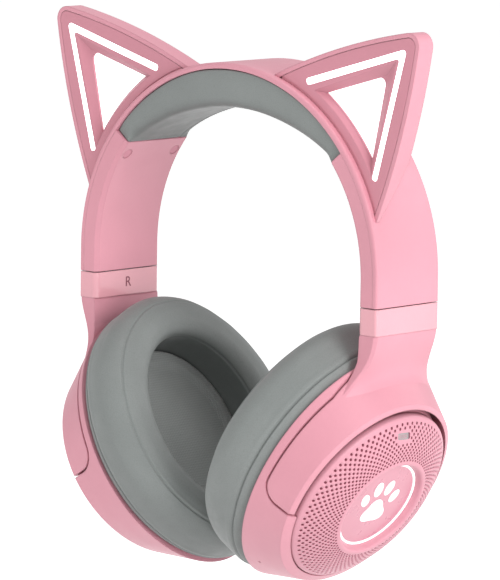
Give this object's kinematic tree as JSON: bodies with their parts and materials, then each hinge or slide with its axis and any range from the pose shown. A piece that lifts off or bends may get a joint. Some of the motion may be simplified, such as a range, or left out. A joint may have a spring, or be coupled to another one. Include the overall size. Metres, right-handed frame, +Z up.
{
  "type": "headset",
  "caption": "Wireless over-ear headset with cat-ear light frames, sliding C-yokes and tilting cushioned cups.",
  "frame": {"origin": "underside of the crown pad at the middle of the headband, where the headset rests on a head", "axes": "+X to the wearer's left, -Y to the wearer's front, +Z up; shown with the sliders in and the cups hanging free"},
  "size_m": [0.1618, 0.0812, 0.1849],
  "materials": {
    "pink_shell": "soft-touch matte",
    "pink_trim": "satin",
    "pink_gloss": "gloss",
    "pink_plug": "matte",
    "grey_leatherette": "soft grained",
    "black_cloth": "knitted mesh",
    "light_guide": "translucent white",
    "circuit_board": "solder mask",
    "steel": "brushed",
    "dark_plastic": "moulded",
    "diaphragm_film": "film",
    "pink_button": "satin",
    "smoked_window": "smoked",
    "cell_wrap": "shrink wrap"
  },
  "bodies": {
    "headband": {"headband_outer_shell": "pink_shell", "headband_spring_band": "steel", "crown_pad_base": "dark_plastic", "crown_pad": "grey_leatherette", "arm_screw_plugs": "pink_plug", "arm_cover_screws": "steel", "arm_inner_cover_left": "pink_shell", "arm_inner_cover_right": "pink_shell", "slider_guide_left": "dark_plastic", "slider_guide_right": "dark_plastic", "detent_spring_left": "steel", "detent_spring_right": "steel", "cat_ear_shell_left": "pink_shell", "cat_ear_shell_right": "pink_shell", "cat_ear_bezel_left": "pink_trim", "cat_ear_bezel_right": "pink_trim", "cat_ear_light_left": "light_guide", "cat_ear_light_right": "light_guide", "cat_ear_led_board_left": "circuit_board", "cat_ear_led_board_right": "circuit_board", "cat_ear_panel_left": "light_guide", "cat_ear_panel_right": "light_guide"},
    "yoke_left_body": {"slider_strip_left": "steel", "slider_collar_left": "pink_gloss", "yoke_left": "pink_shell", "pivot_pins_left": "steel"},
    "cup_left": {"cup_housing_left": "pink_shell", "cup_grille_left": "pink_trim", "badge_disc_left": "pink_gloss", "badge_light_left": "light_guide", "baffle_left": "dark_plastic", "cup_screws_left": "steel", "driver_basket_left": "dark_plastic", "driver_diaphragm_left": "diaphragm_film", "cushion_ring_left": "dark_plastic", "ear_cushion_left": "grey_leatherette", "speaker_cloth_left": "black_cloth", "main_board": "circuit_board", "usb_c_port": "steel", "microphone": "steel", "status_window": "smoked_window"},
    "yoke_right_body": {"slider_strip_right": "steel", "slider_collar_right": "pink_gloss", "yoke_right": "pink_shell", "pivot_pins_right": "steel"},
    "cup_right": {"cup_housing_right": "pink_shell", "cup_grille_right": "pink_trim", "badge_disc_right": "pink_gloss", "badge_light_right": "light_guide", "baffle_right": "dark_plastic", "cup_screws_right": "steel", "driver_basket_right": "dark_plastic", "driver_diaphragm_right": "diaphragm_film", "cushion_ring_right": "dark_plastic", "ear_cushion_right": "grey_leatherette", "speaker_cloth_right": "black_cloth", "battery": "cell_wrap"},
    "power_key": {"power_button": "pink_button"},
    "volume_up_key": {"volume_up_button": "pink_button"},
    "volume_down_key": {"volume_down_button": "pink_button"}
  },
  "joints": [
    {"name": "slider_left", "type": "slide", "parent": "headband", "child": "yoke_left_body", "axis": [0, 0, -1], "range_m": [0, 0.018]},
    {"name": "cup_tilt_left", "type": "hinge", "parent": "yoke_left_body", "child": "cup_left", "pos_m": [0.04673, 0, -0.11882], "axis": [0, -1, 0], "range_deg": [0, 7]},
    {"name": "slider_right", "type": "slide", "parent": "headband", "child": "yoke_right_body", "axis": [0, 0, -1], "range_m": [0, 0.018]},
    {"name": "cup_tilt_right", "type": "hinge", "parent": "yoke_right_body", "child": "cup_right", "pos_m": [-0.04673, 0, -0.11882], "axis": [0, 1, 0], "range_deg": [0, 7]},
    {"name": "power_press", "type": "slide", "parent": "cup_left", "child": "power_key", "axis": [-0.008, -0.9324, 0.3612], "range_m": [0, 0.0005], "stiffness_N_per_m": 600},
    {"name": "volume_up_press", "type": "slide", "parent": "cup_left", "child": "volume_up_key", "axis": [0.0206, -0.8108, 0.5849], "range_m": [0, 0.0005], "stiffness_N_per_m": 600},
    {"name": "volume_down_press", "type": "slide", "parent": "cup_left", "child": "volume_down_key", "axis": [0.0185, -0.6753, 0.7373], "range_m": [0, 0.0005], "stiffness_N_per_m": 600}
  ]
}
